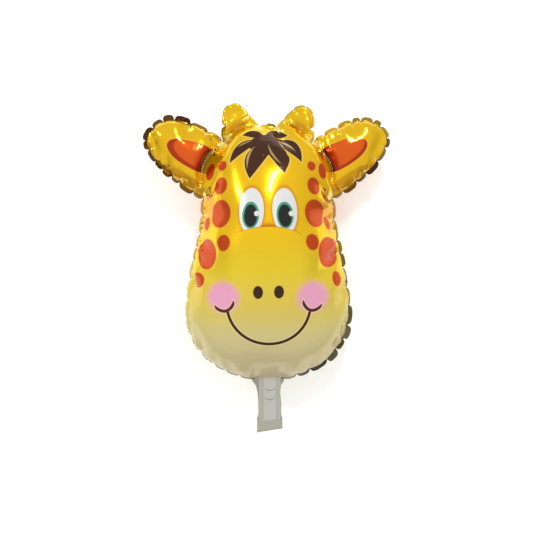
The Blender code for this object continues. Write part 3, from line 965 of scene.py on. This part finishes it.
def smileInk(at, upward, colour):
    colour = inked(colour, "blush", fade(marksOn(at, ovalOn, "cheeks"), "blush"))
    colour = inked(colour, "nostril", fade(marksOn(at, ovalOn, "nostrils"), "fine"))
    ring = calc("ABSOLUTE", ovalOn(at, face["mouth"]))
    ring = calc("SUBTRACT", face["mouthHalfWidth"] * pixel, ring)
    mouthEnd = float(printAt(face["mouthEnd"])[1])
    ring = calc("MINIMUM", ring, calc("SUBTRACT", mouthEnd, upward))
    dimples = marksOn(at, strokeOn, "dimples")
    colour = inked(colour, "lineEdge", fade(calc("MAXIMUM", ring, dimples), "lineEdge"))
    colour = inked(colour, "line", fade(ring, "fine"))
    return inked(colour, "dimple", fade(dimples, "fine"))


def hairInk(at, colour):
    hair = calc("MAXIMUM", ovalOn(at, face["tuft"]), marksOn(at, leafOn, "locks"))
    colour = inked(colour, "hairEdge", fade(hair, "hairEdge"))
    colour = inked(colour, "hair", fade(hair, "crisp"))
    return inked(colour, "hairStrand", fade(marksOn(at, leafOn, "strands"), "fine"))


# The tail's bare film: distances out from its middle line, and down from the head
tailLook = {
    "weld": (0.0066, 0.0086), "stripIn": (0.0082, 0.0092), "stripOut": (0.0106, 0.0096), "strip": 0.35,
    "edge": (0.0132, 0.0144),
    "marks": (0.0128, 0.0250), "markBow": 60.0, "markWidth": (0.0009, 0.0004), "markEnd": (0.0075, 0.0065),
    "band": 0.85, "bandFade": 0.001, "fromHead": (0.015, -0.002),
}


def tailInk(across, upward):
    # A filling channel between two welded sides, its two bowed marks, and the end band
    out = calc("ABSOLUTE", calc("SUBTRACT", across, cut["tailShift"]))
    colour = inked("tail", "tailWeld", between(out, *tailLook["weld"]))
    strip = product(between(out, *tailLook["stripIn"]), between(out, *tailLook["stripOut"]),
                    tailLook["strip"])
    colour = inked(colour, "tailMark", strip)
    colour = inked(colour, "tailMark", between(out, *tailLook["edge"]))
    for drop in tailLook["marks"]:
        bowed = calc("SUBTRACT", calc("ADD", upward, drop), product(out, out, tailLook["markBow"]))
        mark = product(between(calc("ABSOLUTE", bowed), *tailLook["markWidth"]),
                       between(out, *tailLook["markEnd"]))
        colour = inked(colour, "tailMark", mark)
    bandTop = tailLook["band"] * cut["tailBandLength"] - cut["tailLength"]
    soft = tailLook["bandFade"]
    return inked("tailEnd", colour, between(upward, bandTop - soft, bandTop + soft))


# The film: its finish, its creases and its relief, by distances on the flat foil
film = {
    "finish": {"Roughness": 0.15, "Specular IOR Level": 0.15, "Coat Weight": 0.35, "Coat Roughness": 0.07},
    # the yellow is printed clear over the metal, the cream, below these rows of pixels, on an opaque white
    "metallic": 0.7, "opaqueMetallic": 0.12, "opaqueRows": (240.0, 310.0),
    # creases run in from each pucker, with a painted highlight along each: how near the pucker, how far past
    # the rim
    "litPucker": (0.82, 0.96), "litReach": (0.013, 0.005), "lit": 0.75,
    "creasePucker": (0.7, 1.0), "creaseReach": (0.013, 0.001),
    "crumpleScale": 260.0, "crumpleReach": (0.005, 0.001), "crumple": 0.6,     # beside the ears' welds
    "bump": {"Strength": 0.7, "Distance": 0.0009},
    "brownAbove": (0.16, 0.24), "backFrom": (0.6, 0.4),
}


def printedFoil():
    material = bpy.data.materials.new("printedFoil")
    material.use_nodes = True
    tree = material.node_tree
    shader = tree.nodes["Principled BSDF"]
    parts = []
    for name in ("cutAt", "rimAt"):
        node = addNode(tree, "ShaderNodeAttribute", attribute_name=name)
        parts += addNode(tree, "ShaderNodeSeparateXYZ", {0: node.outputs["Vector"]}).outputs
    across, upward, backSide, toRim, toPucker, toWeld = parts
    rimDark = addNode(tree, "ShaderNodeAttribute", attribute_name="rimDark").outputs["Fac"]
    at = addNode(tree, "ShaderNodeCombineXYZ", {0: across, 1: upward}).outputs[0]

    colour = bodyInk(upward)
    # A painted reflection on the head's sides; painted shade on the ears' undersides, the left ear's tip and
    # the horns' roots
    for name, ink in (("peaches", "paintedReflectionWash"), ("ambers", "paintedShade")):
        colour = inked(colour, ink, fade(marksOn(at, ovalOn, name), ink))
    spots = marksOn(at, ovalOn, "spots")
    colour = inked(colour, "spotEdge", fade(spots, "spotEdge"))
    colour = inked(colour, "spot", fade(spots, "crisp"))

    # The rim's puckers run in as creases, with a painted highlight along each
    pastRim = calc("SUBTRACT", toRim, rim["width"])
    lit = product(between(toPucker, *film["litPucker"]), between(pastRim, *film["litReach"]), film["lit"])
    colour = inked(colour, "crease", lit)

    # What only the front foil carries
    plain = colour
    colour = earInk(at, toWeld, colour)
    colour = crinkleInk(at, upward, toWeld, colour)
    colour = eyesInk(at, colour)
    colour = smileInk(at, upward, colour)
    colour = hairInk(at, colour)
    colour = inked(plain, colour, between(backSide, *film["backFrom"]))

    # The rim, painted darker in some lobes than in others as a dark reflection, and the bare film of the tail
    rimInk = inked("rimOlive", "rimBrown", between(upward, *film["brownAbove"]))
    onRim = between(toRim, rim["width"] + halfPixel, rim["width"] - halfPixel)
    colour = inked(colour, rimInk, product(onRim, rimDark))
    colour = inked(colour, tailInk(across, upward), between(upward, *tailLook["fromHead"]))

    # The relief of the creases, and of the crumpled film beside the ears' welds
    crease = product(between(toPucker, *film["creasePucker"]), between(pastRim, *film["creaseReach"]))
    byWeld = product(between(calc("ABSOLUTE", toWeld), *film["crumpleReach"]),
                     noiseOn(at, film["crumpleScale"]), film["crumple"])
    bump = addNode(tree, "ShaderNodeBump", {**film["bump"], "Height": calc("SUBTRACT", byWeld, crease)})

    top, bottom = [float(printAt((photo["originX"], row))[1]) for row in film["opaqueRows"]]
    metallic = between(upward, top, bottom, film["metallic"], film["opaqueMetallic"])
    wire(shader, {"Base Color": colour, "Normal": bump.outputs[0], "Metallic": metallic, **film["finish"]})
    return material


print("printing the foil")
foil = finishMesh(bm, "foil_balloon", printedFoil())
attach(foil, "root")
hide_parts("balloon")

print("floor, light and camera")
studio = {
    "floorSize": 8.0,
    "floor": {"Base Color": inkOf(250, 250, 250), "Roughness": 0.9, "Emission Color": (1.0, 1.0, 1.0, 1.0),
              "Emission Strength": 0.28},
    # the room's glow: from so high up on, and at its horizon beyond the horns and beyond the chin
    "zenith": 0.85, "zenithFrom": 0.8, "farSide": 0.76, "nearSide": 0.35,
    # where each soft box stands round the head, how high, its width, its length and its power
    "boxes": ((11.0, 52.0, 0.17, 0.28, 6.0), (-62.0, 34.0, 0.13, 0.26, 3.2)),
    "boxDistance": 1.5, "boxTarget": (0.0, 0.05, 0.05),
}


def stageFloor():
    bm = bmesh.new()
    bmesh.ops.create_grid(bm, x_segments=1, y_segments=1, size=0.5 * studio["floorSize"])
    material = bpy.data.materials.new("paleFloor")
    material.use_nodes = True
    wire(material.node_tree.nodes["Principled BSDF"], studio["floor"])
    floor = finishMesh(bm, "floor", material)


def studioLight():
    for number, (heading, high, width, length, power) in enumerate(studio["boxes"]):
        turn, lift = math.radians(heading), math.radians(high)
        place = Vector((studio["boxDistance"] * math.sin(turn) * math.cos(lift),
                        studio["boxDistance"] * math.cos(turn) * math.cos(lift),
                        studio["boxDistance"] * math.sin(lift)))
        light = bpy.data.lights.new("softBox" + str(number), "AREA")
        light.shape = "RECTANGLE"
        light.size, light.size_y, light.energy = width, length, power
        softBox = bpy.data.objects.new(light.name, light)
        scene.collection.objects.link(softBox)
        softBox.location = place
        softBox.rotation_euler = (Vector(studio["boxTarget"]) - place).to_track_quat("-Z", "Y").to_euler()
    world = bpy.data.worlds.new("studio")
    scene.world = world
    world.use_nodes = True
    tree = world.node_tree
    coordinates = addNode(tree, "ShaderNodeTexCoord").outputs["Generated"]
    across, ahead, upward = addNode(tree, "ShaderNodeSeparateXYZ", {0: coordinates}).outputs
    horizon = between(ahead, -1.0, 1.0, studio["nearSide"], studio["farSide"])
    glow = between(upward, 0.0, studio["zenithFrom"], horizon, studio["zenith"])
    seen = addNode(tree, "ShaderNodeLightPath").outputs["Is Camera Ray"]
    wire(tree.nodes["Background"], {"Color": inked(glow, (1.0, 1.0, 1.0, 1.0), seen)})


def photoCamera():
    data = bpy.data.cameras.new("camera")
    camera = bpy.data.objects.new("camera", data)
    scene.collection.objects.link(camera)
    camera.location = (cameraAt[0], cameraAt[1], photo["cameraHeight"])
    data.lens = data.sensor_width * seamDistance / (photo["size"] * pixel)
    scene.camera = camera


stageFloor()
studioLight()
photoCamera()
scene.view_settings.view_transform = "Standard"
